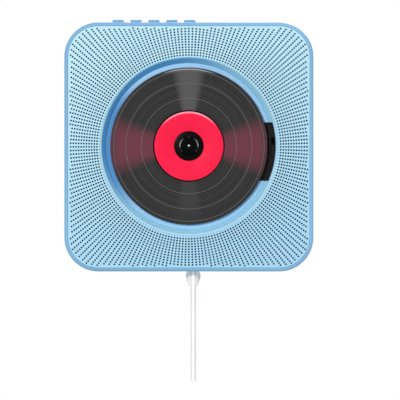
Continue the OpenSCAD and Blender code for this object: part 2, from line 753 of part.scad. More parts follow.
module pickup_sled() color("#2c3a44") on_wall() at_disc() difference() {
    union() {
        translate([lens_in - sled_in, sled_y0, sled_z0]) cube([sled_in + sled_out, sled_l, sled_top - sled_z0]);
        translate([lens_in - bearing_in, rod_y - bearing_w / 2, sled_z0])
            cube([bearing_in + sled_out, bearing_w, arm_top - sled_z0]);
        translate([lens_in - sled_in, rack_back, sled_z0])
            cube([arm_l, sled_y0 + 0.5 - rack_back, arm_top - sled_z0]);
        translate([lens_in, 0, sled_top - 0.5]) cylinder(r = turret_r, h = turret_top - sled_top + 0.5);
    }
    translate([0, rod_y, rod_z]) rotate([0, 90, 0]) cylinder(r = rod_r + run_fit, h = 90);
    translate([0, rod2_y, rod_z]) rotate([0, 90, 0]) cylinder(r = rod_r + run_fit, h = 90);
    translate([lens_in, 0, sled_top - 2]) cylinder(r = lens_d / 2 + seat / 2, h = 5);
    translate([lens_in - 4, -6, sled_z0 - 1]) cube([7, 14, 2.6]);
}

module objective_lens() color("#5f86b0") on_wall() at_disc() translate([lens_in, 0, 0]) rotate_extrude() {
    translate([0, sled_top - 2]) square([lens_d / 2, lens_rim - sled_top + 2]);
    intersection() {
        translate([0, lens_rim - 2 * lens_d]) circle(norm([lens_d / 2 - 0.3, 2 * lens_d]));
        translate([0, lens_rim]) square([lens_d / 2 - 0.3, 1]);
    }
}

// A tooth of a rack or wheel: widths at the pitch line follow the 20 degree flank
tooth_w = 0.42 * PI * gear_m;
tooth_tip = tooth_w - 2 * tan(20) * 0.9 * gear_m;
tooth_foot = tooth_w + 2 * tan(20) * 1.1 * gear_m;

module wheel(teeth, t) {
    r = gear_m * teeth / 2;
    foot = r - 1.1 * gear_m;
    tip = r + 0.9 * gear_m;
    half_foot = tooth_foot / foot * 90 / PI;
    half_tip = tooth_tip / tip * 90 / PI;
    linear_extrude(t) polygon([for (k = [0:teeth - 1], s = [[foot, -half_foot], [tip, -half_tip], [tip, half_tip],
        [foot, half_foot]]) s[0] * [cos(360 * k / teeth + s[1]), sin(360 * k / teeth + s[1])]]);
}

module sled_rack() color("#d9d9d2") on_wall() at_disc() {
    step = PI * gear_m;
    spare = 3.6;
    first = -ceil((travel + spare) / step);
    last = ceil(spare / step);
    translate([gear_x, rack_y, small_z + 0.4]) linear_extrude(small_t - 0.4) {
        translate([(first - 0.5) * step, 1.1 * gear_m]) square([(last - first + 1) * step, rack_t]);
        for (k = [first:last])
            polygon([[k * step - tooth_foot / 2, 1.2 * gear_m], [k * step - tooth_tip / 2, -0.9 * gear_m],
                [k * step + tooth_tip / 2, -0.9 * gear_m], [k * step + tooth_foot / 2, 1.2 * gear_m]]);
    }
}

module gear_pin() color("silver") on_wall() at_disc() translate([gear_x, gear_y, chassis_z])
    cylinder(r = pin_r, h = small_z + small_t + 0.6 - chassis_z);

module drive_gear() color("#e8e4d8") on_wall() at_disc() translate([gear_x, gear_y, 0]) difference() {
    union() {
        translate([0, 0, large_z]) rotate(180) wheel(large_wheel_teeth, large_t);
        translate([0, 0, small_z - 0.01]) rotate(90 + 180 / rack_wheel_teeth) wheel(rack_wheel_teeth, small_t);
    }
    cylinder(r = pin_r + run_fit, h = 60);
}

module sled_motor() color("#c8ccd0") on_wall() at_disc() translate([pinion_x, gear_y, chassis_z]) difference() {
    translate([0, 0, -sled_motor_h]) cylinder(r = sled_motor_r, h = sled_motor_h);
    translate([0, 0, -4]) cylinder(r = 0.75 + run_fit, h = 10);
}

module motor_pinion() color("#b9a15a") on_wall() at_disc() translate([pinion_x, gear_y, 0]) {
    translate([0, 0, large_z]) rotate(180 / pinion_teeth) wheel(pinion_teeth, large_t);
    translate([0, 0, chassis_z - 3.6]) cylinder(r = 0.75, h = large_z - chassis_z + 4);
}

module main_board() color("#2f6b3c") on_wall() difference() {
    translate([board_x0, board_y0, board_z]) cube([board_x1 - board_x0, board_y1 - board_y0, board_t]);
    for (p = board_posts) translate([p.x, p.y, 0]) cylinder(r = 1.4, h = 60);
}

module board_parts() color("#26282b") on_wall() translate([board_x0, board_y1, board_top]) {
    for (c = chips) translate([c[0], c[1], 0]) cube([c[2], c[3], c[4]]);
    for (c = capacitors) translate([c[0], c[1], 0]) cylinder(d = c[2], h = chassis_z - board_top - gap);
    for (c = connectors) translate([c[0], c[1], 0]) cube(connector_size);
}

module board_screws() color("silver") on_wall() for (p = board_posts)
    translate([p.x, p.y, board_top + 1.2]) mirror([0, 0, 1]) pan_screw(2.4, 1.2, 0.95, board_screw_l);

module usb_port() color("#d0d3d6") on_wall() translate([inner - 14.2, usb_y, board_top]) difference() {
    translate([0, -7.2, 0]) cube([14, 14.4, 7.4]);
    translate([2.2, -6.1, 1.2]) cube([20, 12.2, 5]);
}

module audio_jack() color("#202020") on_wall() translate([inner - 13.2, audio_y, board_top]) difference() {
    translate([0, -4.5, 0]) cube([13, 9, 9]);
    translate([1.5, 0, 4.5]) rotate([0, 90, 0]) cylinder(r = 1.8, h = 20);
}

module dc_jack() color("#202020") on_wall() translate([inner - 14.2, dc_y, board_top]) {
    difference() {
        translate([0, -4.8, 0]) cube([14, 9.6, 11]);
        translate([2.5, 0, 5.5]) rotate([0, 90, 0]) cylinder(r = 3.2, h = 20);
    }
    translate([2, 0, 5.5]) rotate([0, 90, 0]) cylinder(r = 1, h = 11);
}

module button_board() color("#2f6b3c") on_wall()
    translate([button_board_x0, board_line - strip_t, button_z - button_board_h / 2])
        cube([button_board_x1 - button_board_x0, strip_t, button_board_h]);

module tact_switches() color("#d8d8d0") on_wall() for (x = button_x) difference() {
    translate([x - 3, board_line, button_z - 3]) cube([6, switch_h, 6]);
    translate([x, board_line + switch_h - stem_in - button_travel - gap, button_z]) rotate([-90, 0, 0])
            cylinder(r = stem_r + gap, h = 5);
}

module push_button(i) color("#7db4e4") on_wall() translate([button_x[i], 0, button_z]) rotate([-90, 0, 0]) {
    translate([0, 0, inner - gap - 1.6]) linear_extrude(shell_t + gap + 1.6 + button_up - 0.6)
        rounded_rect(button_w, button_h, 1.5);
    translate([0, 0, half + button_up - 0.6]) linear_extrude(0.6) rounded_rect(button_w - 0.5, button_h - 0.5, 1.3);
    translate([0, 0, inner - gap - 1.4]) linear_extrude(1.4) rounded_rect(button_w + 2.4, button_h + 2.4, 1.8);
    translate([0, 0, board_line + switch_h - stem_in]) cylinder(r = stem_r, h = inner - gap - board_line - switch_h);
}

module button_1() push_button(0);
module button_2() push_button(1);
module button_3() push_button(2);
module button_4() push_button(3);
module button_5() push_button(4);

// Turns a round piece so that its axis hangs down along the cord
module down_cord() translate([cord_x, 0, cord_z]) rotate([90, 0, 0]) children();

module cord_grommet() color("#f2f2f2") on_wall() down_cord() difference() {
    rotate_extrude() difference() {
        union() {
            translate([0, inner - 1.4]) square([grommet_neck + 1.4, 1.4 - seat / 2]);
            translate([0, inner - 1]) square([grommet_neck, shell_t + 2]);
            translate([0, half + seat / 2]) polygon([[0, 0], [4.4, 0], [grommet_d / 2 - 0.7, 0.9], [grommet_d / 2 - 0.15, 2],
                [grommet_d / 2, 3.4], [grommet_d / 2 - 0.2, 5], [grommet_d / 2 - 0.9, 6.6],
                [bore_r + 1.9, 8.6], [bore_r + 1, grommet_l - 0.4], [bore_r + 0.8, grommet_l], [0, grommet_l]]);
        }
        square([bore_r, 200]);
    }
}

module pull_switch() color("#3c4046") on_wall() difference() {
    union() {
        translate([cord_x - switch_w / 2, switch_low, cord_z - switch_d / 2]) cube([switch_w, switch_l, switch_d]);
        translate([cord_x - switch_post_x - 3, switch_post_y - 3.5, cord_z - switch_d / 2]) cube([2 * switch_post_x + 6, 7, 2]);
    }
    down_cord() {
        translate([0, 0, -switch_low - 1.5 - pull - collar_t - gap - 3]) cylinder(r = collar_r + gap, h = pull + collar_t + gap + 3);
        translate([0, 0, -switch_low - 2]) cylinder(r = bore_r, h = 10);
    }
    for (side = [-1, 1]) translate([cord_x + side * switch_post_x, switch_post_y, 0]) cylinder(r = 1.3, h = 40);
}

module switch_screws() color("silver") on_wall() for (side = [-1, 1])
    translate([cord_x + side * switch_post_x, switch_post_y, cord_z - switch_d / 2 + 3]) mirror([0, 0, 1]) pan_screw(2.2, 1, 0.85, switch_screw_l);

module pull_stem() color("#f4f4f4") on_wall() down_cord() {
    top = -switch_low - 1.5 - pull - collar_t - gap;
    translate([0, 0, top]) cylinder(r = cord_r, h = -seam_y - top);
    translate([0, 0, top]) cylinder(r = collar_r, h = collar_t);
}

// A tube of eight sides along the cord's points
module pull_cord() color("#f8f8f8") on_wall() translate([cord_x, 0, cord_z]) {
    sides = 8;
    rings = len(cord_down);
    polyhedron(
        points = [for (d = cord_down, k = [0:sides - 1])
            [cord_r * cos(360 * k / sides), -half - d, cord_r * sin(360 * k / sides)]],
        faces = concat(
            [[for (k = [sides - 1:-1:0]) k]],
            [for (i = [0:rings - 2], k = [0:sides - 1]) let (a = i * sides + k, b = i * sides + (k + 1) % sides)
                each [[a, b, b + sides], [a, b + sides, a + sides]]],
            [[for (k = [0:sides - 1]) (rings - 1) * sides + k]]));
}

module wall_bracket() color("#c4c8cc") on_wall() difference() {
    union() {
        linear_extrude(bracket_t) rounded_rect(bracket_w, bracket_h, 6);
        for (side = [-1, 1]) translate([side * hook_x - hook_w / 2, hook_y - stem_t, 0]) {
            cube([hook_w, stem_t, tongue_z + hook_t]);
            translate([0, 0, tongue_z]) cube([hook_w, stem_t + hook_h, hook_t]);
        }
    }
    for (sx = [-1, 1], sy = [-1, 1]) translate([sx * bolt_x / 2, sy * bolt_y / 2, -1]) cylinder(d = bolt_d, h = 9);
}

wall_bracket();
rear_cover();
hanger_strip();
strip_screws();
rubber_pads();
case_screws();
front_frame();
grille_panel();
baffle();
disc_well();
well_screws();
speaker_basket_left();
speaker_cone_left();
speaker_magnet_left();
speaker_basket_right();
speaker_cone_right();
speaker_magnet_right();
deck_cover();
deck_chassis();
deck_dampers();
deck_screws();
spindle_motor();
spindle_shaft();
turntable();
turntable_pad();
chuck_jaws();
disc();
disc_label();
guide_rods();
pickup_sled();
objective_lens();
sled_rack();
gear_pin();
drive_gear();
sled_motor();
motor_pinion();
main_board();
board_parts();
board_screws();
usb_port();
audio_jack();
dc_jack();
button_board();
tact_switches();
button_1();
button_2();
button_3();
button_4();
button_5();
cord_grommet();
pull_switch();
switch_screws();
pull_stem();
pull_cord();
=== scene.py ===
"""A wall mounted disc player in pale blue: a perforated front, a disc in a round well and a pull cord.

All lengths are in metres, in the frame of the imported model: +Z up, the front faces -Y, the wall is y = 0.
"""
import json
import math

import bmesh
import bpy
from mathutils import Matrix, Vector
from mathutils.geometry import delaunay_2d_cdt


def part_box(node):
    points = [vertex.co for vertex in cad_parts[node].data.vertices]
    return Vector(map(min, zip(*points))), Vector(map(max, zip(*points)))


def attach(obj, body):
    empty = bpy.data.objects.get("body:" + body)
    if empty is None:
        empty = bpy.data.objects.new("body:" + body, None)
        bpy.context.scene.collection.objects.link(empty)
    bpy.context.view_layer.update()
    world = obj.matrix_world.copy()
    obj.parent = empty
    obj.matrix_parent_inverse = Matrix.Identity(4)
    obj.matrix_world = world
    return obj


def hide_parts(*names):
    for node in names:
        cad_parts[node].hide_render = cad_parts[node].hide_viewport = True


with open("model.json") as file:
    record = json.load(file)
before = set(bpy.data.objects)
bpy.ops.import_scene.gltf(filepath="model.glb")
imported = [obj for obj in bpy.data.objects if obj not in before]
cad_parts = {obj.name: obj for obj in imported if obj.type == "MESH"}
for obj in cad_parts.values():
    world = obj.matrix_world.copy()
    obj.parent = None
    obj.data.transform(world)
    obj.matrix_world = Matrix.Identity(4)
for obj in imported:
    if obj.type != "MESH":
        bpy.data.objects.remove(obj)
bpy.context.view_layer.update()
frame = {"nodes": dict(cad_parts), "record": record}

MM = 0.001
TURN = 2 * math.pi

# Body
body_low, body_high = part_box("front_frame")
front = body_low.y
half = body_high.x
corner_r = 26 * MM

# Panel
panel_low, panel_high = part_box("grille_panel")
panel_w = panel_high.x - panel_low.x
panel_back = panel_high.y
panel_corner = corner_r - (half - panel_high.x)
hole_lines = 200
hole_pitch = 2 * MM
first_ring = 70.1 * MM
dimple_ring = first_ring - hole_pitch
hole_r = 0.72 * MM
plain_band = 0.8 * MM
well_lip = 68.5 * MM
lip_r = 2.2 * MM
panel_proud = 0.06 * MM
panel_front = front - panel_proud

# Disc
disc_low, disc_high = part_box("disc")
disc_x = (disc_low.x + disc_high.x) / 2
disc_z = (disc_low.z + disc_high.z) / 2
disc_r = (disc_high.x - disc_low.x) / 2
disc_hole = 7.5 * MM
disc_back = disc_high.y
disc_face = disc_low.y
label_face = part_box("disc_label")[0].y
label_in = 11.4 * MM
label_out = 26.3 * MM
groove_pitch = 0.6 * MM
groove_end = 57 * MM
track_gaps = (36.4 * MM, 48.1 * MM)
lead_in = 57.5 * MM
bead_r = 58.6 * MM

# Cord: distances below the body's centre
cord_x = 3.3 * MM
cord_y = -21 * MM
cord_r = 2 * MM
cord_down = [101, 106, 111.5, 117, 122.5, 128, 133.5, 139, 144.5, 150, 155.5, 161, 166.5, 172, 178.7]


# Camera and light

def make_camera():
    """The photograph is frontal, from far off, and 305 mm wide at the player's front."""
    view_width = 0.305
    distance = 8
    data = bpy.data.cameras.new("camera")
    data.sensor_width = 36
    data.lens = data.sensor_width * distance / view_width
    data.clip_end = 50
    camera = bpy.data.objects.new("camera", data)
    camera.location = (8.5 * MM, front - distance, -40.5 * MM)
    camera.rotation_euler = (math.pi / 2, 0, 0)
    bpy.context.scene.collection.objects.link(camera)
    bpy.context.scene.camera = camera


def make_lamp(name, place, size, watts):
    data = bpy.data.lights.new(name, "AREA")
    data.shape = "DISK"
    data.size = size
    data.energy = watts
    lamp = bpy.data.objects.new(name, data)
    lamp.location = place
    lamp.rotation_euler = (Vector((0, front, 0)) - Vector(place)).to_track_quat("-Z", "Y").to_euler()
    bpy.context.scene.collection.objects.link(lamp)


def make_world(ahead, behind):
    """White to the camera, in reflections and through glass.

    Its light on the player is stronger from the front than from behind.
    """
    world = bpy.data.worlds.new("studio")
    bpy.context.scene.world = world
    world.use_nodes = True
    nodes, links = world.node_tree.nodes, world.node_tree.links
    nodes.clear()
    path = nodes.new("ShaderNodeLightPath")
    seen = nodes.new("ShaderNodeMath")
    seen.operation = "MAXIMUM"
    bright = nodes.new("ShaderNodeMath")
    bright.operation = "MAXIMUM"
    links.new(path.outputs["Is Camera Ray"], seen.inputs[0])
    links.new(path.outputs["Is Transmission Ray"], seen.inputs[1])
    links.new(seen.outputs[0], bright.inputs[0])
    links.new(path.outputs["Is Glossy Ray"], bright.inputs[1])
    way = nodes.new("ShaderNodeTexCoord")
    axes = nodes.new("ShaderNodeSeparateXYZ")
    turn = nodes.new("ShaderNodeMapRange")
    turn.interpolation_type = "SMOOTHSTEP"
    turn.inputs["From Min"].default_value = -0.35
    turn.inputs["From Max"].default_value = 0.35
    links.new(way.outputs["Generated"], axes.inputs[0])
    links.new(axes.outputs["Y"], turn.inputs["Value"])
    halves = nodes.new("ShaderNodeMixShader")
    links.new(turn.outputs[0], halves.inputs[0])
    for socket, level in ((1, ahead), (2, behind)):
        soft = nodes.new("ShaderNodeBackground")
        soft.inputs["Color"].default_value = (0.97, 0.985, 1, 1)
        soft.inputs["Strength"].default_value = level
        links.new(soft.outputs[0], halves.inputs[socket])
    white = nodes.new("ShaderNodeBackground")
    white.inputs["Color"].default_value = (1, 1, 1, 1)
    white.inputs["Strength"].default_value = 1
    mix = nodes.new("ShaderNodeMixShader")
    links.new(bright.outputs[0], mix.inputs[0])
    links.new(halves.outputs[0], mix.inputs[1])
    links.new(white.outputs[0], mix.inputs[2])
    out = nodes.new("ShaderNodeOutputWorld")
    links.new(mix.outputs[0], out.inputs["Surface"])


# Finishes

class Wire:
    """One output socket of a finish's nodes. Arithmetic on it adds Math nodes."""

    def __init__(self, finish, socket):
        self.finish = finish
        self.socket = socket

    def maths(self, operation, *others):
        """A Math node with this socket as its first value."""
        return self.finish.maths(operation, self, *others)

    def __add__(self, other):
        return self.maths("ADD", other)

    def __radd__(self, other):
        return self.maths("ADD", other)

    def __sub__(self, other):
        return self.maths("SUBTRACT", other)

    def __rsub__(self, other):
        return self.finish.maths("SUBTRACT", other, self)

    def __mul__(self, other):
        return self.maths("MULTIPLY", other)

    def __truediv__(self, other):
        return self.maths("DIVIDE", other)


class Finish:
    """A material with one Principled shader, and the nodes that feed it."""

    def __init__(self, name, colour, roughness, **fixed):
        self.material = bpy.data.materials.new(name)
        self.material.use_nodes = True
        self.material.diffuse_color = (*colour, 1)
        self.tree = self.material.node_tree
        self.shader = self.tree.nodes["Principled BSDF"]
        self.colour = (*colour, 1)
        self.feed("Base Color", self.colour)
        self.feed("Roughness", roughness)
        for socket, value in fixed.items():
            self.feed(socket.replace("_", " "), value)

    def add(self, kind, settings=None, sockets=None, output=0):
        """Adds a node, sets it up, feeds its sockets by name or number, and returns one of its outputs."""
        node = self.tree.nodes.new(kind)
        for key, value in (settings or {}).items():
            setattr(node, key, value)
        for key, value in (sockets or {}).items():
            self.join(node.inputs[key], value)
        return Wire(self, node.outputs[output])

    def join(self, socket, value):
        if isinstance(value, Wire):
            self.tree.links.new(value.socket, socket)
        else:
            socket.default_value = value

    def feed(self, socket, value):
        """Gives one of the shader's sockets a value or a wire."""
        self.join(self.shader.inputs[socket], value)

    def maths(self, operation, *values):
        return self.add("ShaderNodeMath", {"operation": operation}, dict(enumerate(values)))

    def place(self):
        """The point on the piece, in metres, as at rest."""
        return self.add("ShaderNodeTexCoord", output="Object")

    def scene_place(self):
        """The point in the scene, in metres. What is drawn by it, the painted sheen and highlights, stays
        put when the piece moves.
        """
        return self.add("ShaderNodeNewGeometry", output="Position")

    def split(self, vector):
        return [self.add("ShaderNodeSeparateXYZ", None, {0: vector}, output=i) for i in range(3)]

    def mix(self, share, first, second):
        return self.add("ShaderNodeMix", {"data_type": "RGBA"}, {0: share, 6: first, 7: second}, output=2)

    def noise(self, size, detail=2, vector=None):
        return self.add("ShaderNodeTexNoise", None,
                        {"Vector": vector or self.place(), "Scale": 1 / size, "Detail": detail})

    def band(self, value, low, high):
        """0 below low, 1 above high, smooth in between."""
        return self.add("ShaderNodeMapRange", {"interpolation_type": "SMOOTHSTEP"},
                        {"Value": value, "From Min": low, "From Max": high})

    def stripe(self, value, at, core, edge):
        """1 where the value is within core of a place, 0 beyond edge, smooth in between."""
        return 1 - self.band((value - at).maths("ABSOLUTE"), core, edge)

    def radius_from(self, vector, x0, z0):
        """Distance from an axis along Y, and the offsets from it."""
        x, _, z = self.split(vector)
        dx, dz = x - x0, z - z0
        return (dx * dx + dz * dz).maths("SQRT"), dx, dz

    def bump(self, height, strength, depth):
        self.feed("Normal", self.add("ShaderNodeBump", None,
                                     {"Strength": strength, "Distance": depth, "Height": height}))

    def tint(self, share, dark, light):
        """Shifts the base colour between two levels of itself."""
        low = tuple(c * dark for c in self.colour[:3]) + (1,)
        high = tuple(min(1, c * light) for c in self.colour[:3]) + (1,)
        self.feed("Base Color", self.mix(share, low, high))


grain_size = 0.35 * MM
grain_depth = 0.02 * MM


def moulded(name, colour, roughness, grain=grain_size, shine=0.5):
    """Injection moulded plastic: a fine spark-eroded grain and a faint cloudiness."""
    finish = Finish(name, colour, roughness, IOR=1.47, Specular_IOR_Level=shine)
    spots = finish.noise(grain, 3)
    clouds = finish.noise(35 * MM, 2)
    finish.tint(clouds * 0.7 + spots * 0.3, 0.95, 1.04)
    finish.feed("Roughness", spots * 0.12 + (roughness - 0.06))
    finish.bump(spots, 0.25, grain_depth)
    return finish.material


def frame_plastic():
    """The frame and the rear cover: a mid blue, paler toward the lower right as painted light, and darker
    toward the upper left as painted shade.
    """
    finish = Finish("frame_plastic", (0.26, 0.54, 0.83), 0.5, IOR=1.47, Specular_IOR_Level=0.2)
    x, _, z = finish.split(finish.place())
    # Painted light and shade: the blue is darker at the upper left and paler at the lower right.
    painted_light_slant = finish.band((x - z) / (4 * half) + 0.5, 0.1, 0.9)
    grain = finish.noise(grain_size, 3)
    deep = finish.mix(grain, (0.225, 0.475, 0.755, 1), (0.245, 0.5, 0.785, 1))
    pale = finish.mix(grain, (0.29, 0.61, 0.93, 1), (0.31, 0.64, 0.965, 1))
    finish.feed("Base Color", finish.mix(painted_light_slant, deep, pale))
    finish.feed("Roughness", grain * 0.12 + 0.44)
    finish.bump(grain, 0.25, grain_depth)
    return finish.material


def button_plastic():
    """The buttons: the frame's blue, with a darker crown, which is painted shade."""
    finish = Finish("button_plastic", (0.16, 0.4, 0.7), 0.5, IOR=1.47, Specular_IOR_Level=0.2)
    grain = finish.noise(grain_size, 3)
    high = finish.split(finish.place())[2]
    # Painted shade: the top of the crown turns a dark grey-blue.
    crown = finish.band(high, half + 1.3 * MM, half + 1.7 * MM)
    blue = finish.mix(grain, (0.155, 0.39, 0.69, 1), (0.165, 0.41, 0.72, 1))
    finish.feed("Base Color", finish.mix(crown, blue, (0.12, 0.26, 0.38, 1)))
    finish.bump(grain, 0.25, grain_depth)
    return finish.material


def dust_cloth():
    """Black weave with a touch of teal."""
    finish = Finish("dust_cloth", (0.006, 0.018, 0.026), 0.9, IOR=1.3, Specular_IOR_Level=0.1)
    weave = finish.noise(0.4 * MM, 2)
    finish.tint(weave, 0.7, 1.4)
    return finish.material


def rolled_blue(finish, grain):
    """The blue of the panel and the well.

    It is pale on the flat face and the lip, fuller on the well's wall, and deepest at the left. Light and
    shade are painted into it: painted light at the upper left of the flat face and painted shade toward its
    lower right, painted shade on the well's wall toward the left and the top and on its floor at the left,
    and painted shade on the top of the lip.
    """
    place = finish.place()
    x, y, z = finish.split(place)
    radius, dx, dz = finish.radius_from(place, disc_x, disc_z)
    depth = y - front
    left, up = 0 - dx / radius, dz / radius
    # Painted shade in the well: the wall darkens toward the upper left, the floor toward the left.
    painted_wall_shade = finish.band(left * 0.8 + up * 0.6, 0.05, 0.8)
    painted_floor_shade = finish.band(left, 0.6, 0.95)
    floor = finish.band(depth, 8.6 * MM, 9.3 * MM)
    wall = finish.mix(painted_wall_shade, (0.39, 0.77, 1, 1), (0.11, 0.43, 0.85, 1))
    ground = finish.mix(painted_floor_shade, (0.33, 0.6, 0.86, 1), (0.07, 0.28, 0.57, 1))
    # Painted light and shade on the flat face: lighter at the upper left, darker toward the lower right.
    painted_light_slant = finish.band((x * 0.3 - z) / (2.6 * half) + 0.5, 0, 1)
    light = finish.mix(grain, (0.45, 0.72, 0.83, 1), (0.47, 0.75, 0.86, 1))
    deep = finish.mix(grain, (0.345, 0.61, 0.81, 1), (0.365, 0.64, 0.84, 1))
    # Painted shade on the lip: at the top it takes the well's darker blue sooner.
    sunk = depth + finish.band(up, 0.5, 0.95) * (2.1 * MM)
    inside = finish.mix(floor, wall, ground)
    in_well = finish.band(sunk, 0.5 * MM, 3 * MM) * finish.band(depth, 0, 0.1 * MM)
    return finish.mix(in_well, finish.mix(painted_light_slant, light, deep), inside)


def panel_plastic():
    """The front panel and the well, with a ring of faint dimples on the roll between them, drawn only as
    painted shade.
    """
    finish = Finish("panel_plastic", (0.5, 0.8, 0.93), 0.45, IOR=1.47, Specular_IOR_Level=0.3)
    grain = finish.noise(0.3 * MM, 3)
    radius, x, z = finish.radius_from(finish.place(), 0, 0)
    line = z.maths("ARCTAN2", x) * (hole_lines / TURN)
    off = (line + 0.5).maths("FRACT") - 0.5
    across = off * (dimple_ring * TURN / hole_lines)
    along = radius - dimple_ring
    away = (across * across + along * along).maths("SQRT")
    # Painted shade: dark blue spots stand in for the hollows of the dimples, which have no shape here.
    dimple_shade = 1 - finish.band(away, 0.4 * MM, 0.8 * MM)
    finish.feed("Base Color", finish.mix(dimple_shade * 0.8, rolled_blue(finish, grain), (0.15, 0.34, 0.46, 1)))
    finish.feed("Roughness", grain * 0.1 + 0.4)
    finish.bump(grain, 0.2, grain_depth)
    return finish.material


def record_black():
    """The disc's face: fine grooves, lighter gaps between tracks, and the sheen that grooves throw, painted
    as reflections: lighter above and below the centre, dark red to its sides, and a highlight on the lead-in
    bead's top.
    """
    finish = Finish("record_black", (0.04, 0.039, 0.04), 0.38, IOR=1.5, Specular_IOR_Level=0.03)
    # Painted sheen is drawn by place in the scene, so it holds still while the disc turns.
    radius, dx, dz = finish.radius_from(finish.scene_place(), disc_x, disc_z)
    side, up = dx / radius, dz / radius
    # Painted reflections: light wedges above and below the centre, dark red wedges to its sides.
    top = finish.band(up, 0.968, 1.0)
    bottom = finish.band(0 - up, 0.97, 1.0) * (1.3 - finish.band(radius, 38 * MM, 58 * MM))
    flat = finish.band(side.maths("ABSOLUTE"), 0.9, 0.998)
    fade_out = 1 - finish.band(radius, 54 * MM, 59 * MM) * 0.5
    groove = finish.add("ShaderNodeTexWave", {"wave_type": "RINGS", "rings_direction": "Y"},
                        {"Vector": finish.place(), "Scale": 330})
    turns = finish.add("ShaderNodeTexNoise", {"noise_dimensions": "1D"},
                       {"W": radius, "Scale": 900, "Detail": 2})
    grit = finish.noise(0.5 * MM, 3)
    black = finish.mix(finish.band(turns * 0.6 + grit * 0.4, 0.35, 0.65), (0.022, 0.022, 0.022, 1),
                       (0.045, 0.044, 0.045, 1))
    side_sheen = finish.mix(flat * fade_out, black, (0.145, 0.042, 0.06, 1))
    sheen = finish.mix(top * (0.75 + groove * 0.25), side_sheen, (0.1, 0.1, 0.099, 1))
    low_sheen = finish.mix(bottom * 0.9, sheen, (0.048, 0.048, 0.048, 1))
    gaps = finish.stripe(radius, lead_in, 0.15 * MM, 0.45 * MM)
    for at in track_gaps:
        gaps = gaps.maths("MAXIMUM", finish.stripe(radius, at, 0.15 * MM, 0.45 * MM))
    tracks = finish.mix(gaps * 0.5, low_sheen, (0.16, 0.15, 0.15, 1))
    # Painted highlight: a bright arc on the upper part of the lead-in bead.
    glint = finish.stripe(radius, bead_r, 0.1 * MM, 0.35 * MM) * finish.band(up, 0.93, 0.985)
    ringed = finish.mix(glint, tracks, (0.5, 0.52, 0.55, 1))
    sunk = finish.band(radius, label_out, label_out + 0.2 * MM) - finish.band(radius, 27.2 * MM, 27.6 * MM)
    plain = sunk + 1 - finish.band(radius, 11.3 * MM, 11.6 * MM)
    finish.feed("Base Color", finish.mix(plain, ringed, (0.003, 0.002, 0.002, 1)))
    finish.feed("Roughness", groove * 0.12 + 0.3)
    finish.bump(groove, 0.3, 0.03 * MM)
    return finish.material


def label_print():
    """Glossy pink-red print with a faint speckle, and a painted highlight on the upper part of its outer
    edge.
    """
    finish = Finish("label_print", (0.93, 0.012, 0.06), 0.45, IOR=1.5, Specular_IOR_Level=0.06)
    speckle = finish.noise(0.4 * MM, 2)
    clouds = finish.noise(9 * MM, 2)
    print_red = finish.mix(speckle * 0.6 + clouds * 0.4, (0.86, 0.008, 0.05, 1), (0.94, 0.02, 0.075, 1))
    radius, _, dz = finish.radius_from(finish.scene_place(), disc_x, disc_z)
    # Painted highlight: a pale pink band inside the outer edge, on the upper side only.
    rim = finish.band(radius, 24.6 * MM, 25.5 * MM)
    painted_highlight = rim * finish.band(dz / radius, 0.55, 0.95) * 0.6
    finish.feed("Base Color", finish.mix(painted_highlight, print_red, (1, 0.5, 0.6, 1)))
    finish.feed("Roughness", speckle * 0.15 + 0.38)
    return finish.material


def chuck_black():
    """Gloss black of the turntable, with the two long glints of the chuck's shoulder, painted on."""
    finish = Finish("chuck_black", (0.002, 0.002, 0.002), 0.15, IOR=1.5, Specular_IOR_Level=0.02)
    radius, _, dz = finish.radius_from(finish.scene_place(), disc_x, disc_z)
    up = dz / radius
    # Painted highlights: two grey arcs on the shoulder, one at the left and one at the right.
    shoulder = finish.stripe(radius, 7 * MM, 0.15 * MM, 0.5 * MM)
    glint_sides = finish.band(up, -0.3, 0.1) * (1 - finish.band(up, 0.35, 0.92))
    smear = finish.noise(6 * MM, 4)
    black = finish.mix(smear, (0.001, 0.0015, 0.0015, 1), (0.003, 0.0035, 0.0035, 1))
    finish.feed("Base Color", finish.mix(shoulder * glint_sides * 0.9, black, (0.5, 0.5, 0.5, 1)))
    finish.feed("Roughness", smear * 0.14 + 0.1)
    return finish.material


def metal(name, colour, roughness):
    """Metal with fine lines along X, as rolled or brushed stock has."""
    finish = Finish(name, colour, roughness, Metallic=1.0)
    stretched = finish.add("ShaderNodeMapping", None, {"Vector": finish.place(), "Scale": (0.08, 1, 1)})
    lines = finish.noise(MM / 3, 3, stretched)
    finish.tint(lines, 0.8, 1.1)
    finish.feed("Roughness", lines * 0.2 + (roughness - 0.1))
    finish.bump(lines, 0.2, grain_depth)
    return finish.material


def tip_steel():
    """The spindle's tip: bright only on its upper half, as the room's light falls."""
    finish = Finish("tip_steel", (0.5, 0.5, 0.52), 0.4, Metallic=0.3)
    radius, _, dz = finish.radius_from(finish.scene_place(), disc_x, disc_z)
    # Painted light on the upper half of the tip; the rest is near black, painted shade.
    painted_highlight = finish.band(dz, -0.1 * MM, 0.5 * MM) * (1 - finish.band(radius, 1.1 * MM, 1.5 * MM))
    finish.feed("Base Color", finish.mix(painted_highlight, (0.02, 0.02, 0.02, 1), (0.6, 0.6, 0.6, 1)))
    return finish.material


def galvanised():
    """Zinc coated sheet with its spangle."""
    finish = Finish("galvanised", (0.6, 0.61, 0.62), 0.42, Metallic=0.9)
    crystal = finish.add("ShaderNodeTexVoronoi", None, {"Vector": finish.place(), "Scale": 420}, "Color")
    grey = finish.add("ShaderNodeRGBToBW", None, {0: crystal})
    finish.tint(grey, 0.86, 1.05)
    finish.feed("Roughness", grey * 0.2 + 0.34)
    return finish.material


def rubber():
    finish = Finish("rubber", (0.022, 0.022, 0.023), 0.8)
    grain = finish.noise(0.5 * MM, 3)
    finish.tint(grain, 0.8, 1.5)
    finish.bump(grain, 0.5, 0.05 * MM)
    return finish.material


